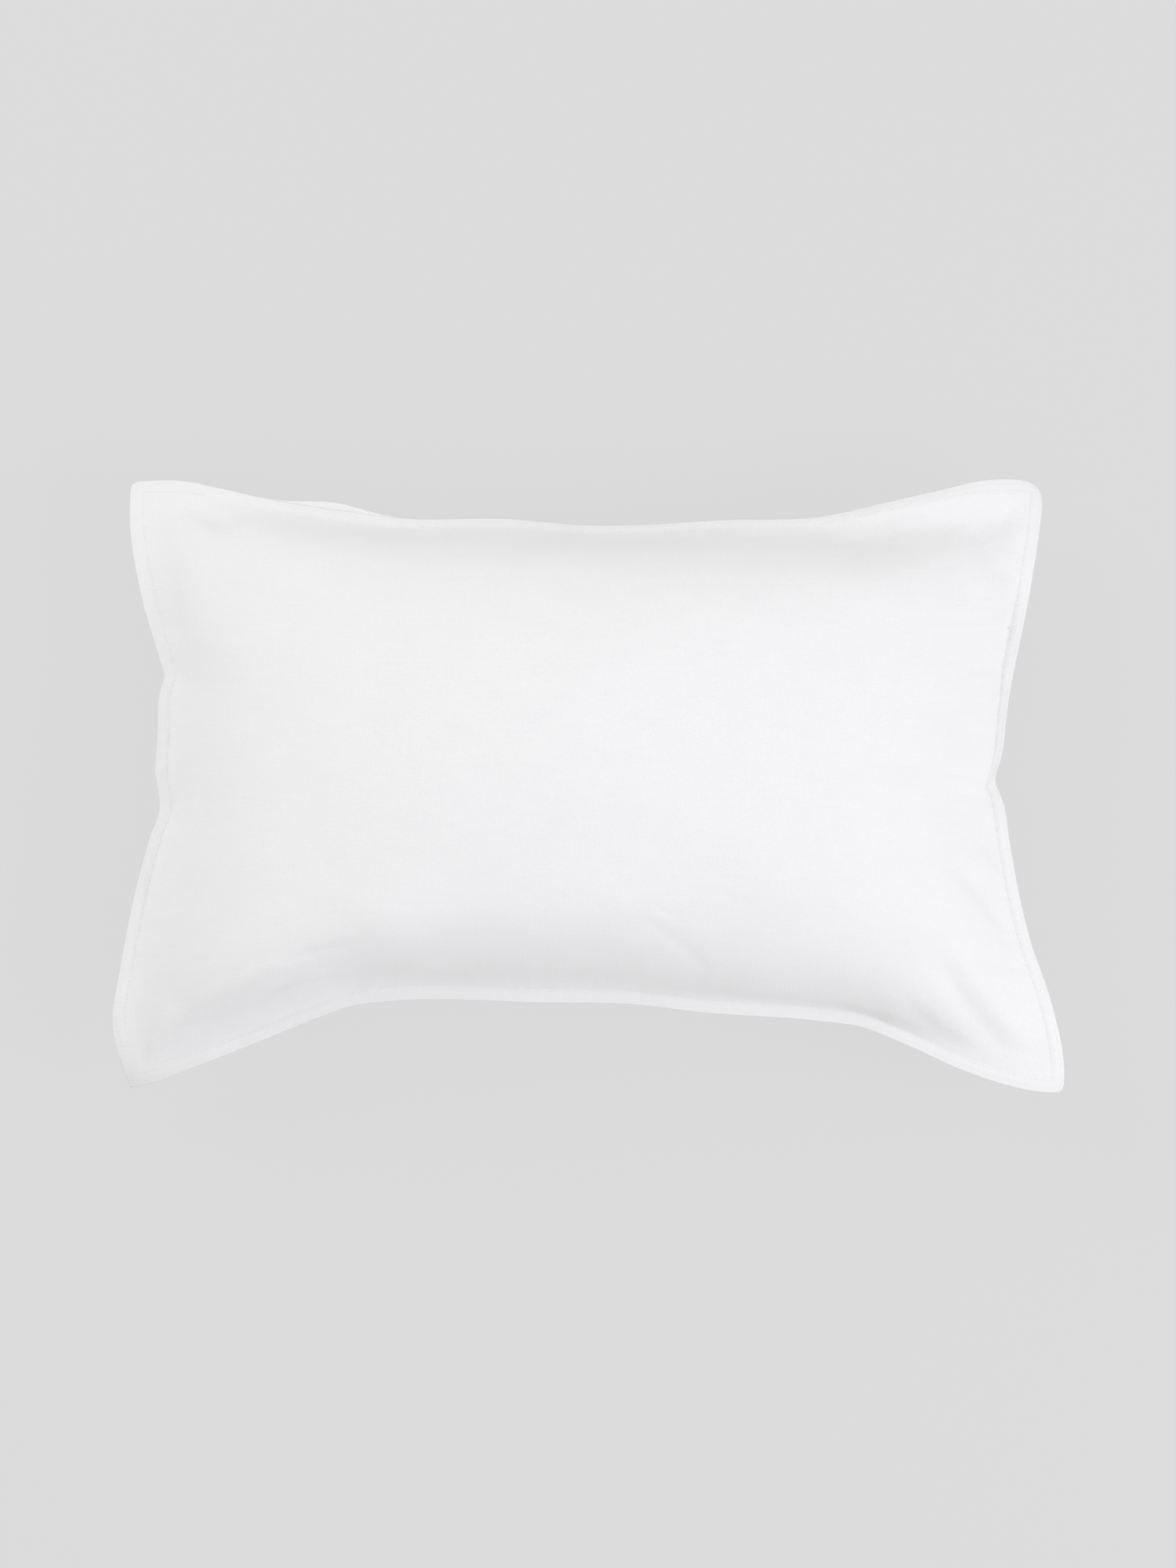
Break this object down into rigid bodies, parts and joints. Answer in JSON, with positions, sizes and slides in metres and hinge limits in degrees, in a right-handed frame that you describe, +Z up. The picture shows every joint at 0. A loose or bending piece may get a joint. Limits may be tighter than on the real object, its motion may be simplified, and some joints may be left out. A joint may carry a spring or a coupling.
{
  "type": "bed pillow",
  "caption": "Rectangular bed pillow in a flanged, topstitched envelope case, plump in the middle with drawn-in sides, over a piped ticking insert.",
  "frame": {"origin": "on the surface the pillow lies on, under the middle of its outline", "axes": "+X along the pillow's length, +Y across its width towards the straighter long edge, +Z up through its thickness, from the back panel to the front panel"},
  "size_m": [0.7159, 0.4627, 0.2008],
  "materials": {
    "case_linen": "washed linen, matt",
    "case_thread": "cotton thread, satin",
    "ticking_cotton": "dense cotton cambric, matt",
    "piping_cotton": "cotton-covered cord, matt",
    "label_satin": "woven satin, blank",
    "fill_fibre": "loose fibre, matt"
  },
  "bodies": {
    "root": {"case_front_panel": "case_linen", "case_back_panel": "case_linen", "case_back_flap": "case_linen", "case_topstitch_front": "case_thread", "case_topstitch_back": "case_thread", "case_care_label": "label_satin", "ticking_front": "ticking_cotton", "ticking_back": "ticking_cotton", "ticking_piping": "piping_cotton", "ticking_label": "label_satin", "fill": "fill_fibre"}
  },
  "joints": []
}
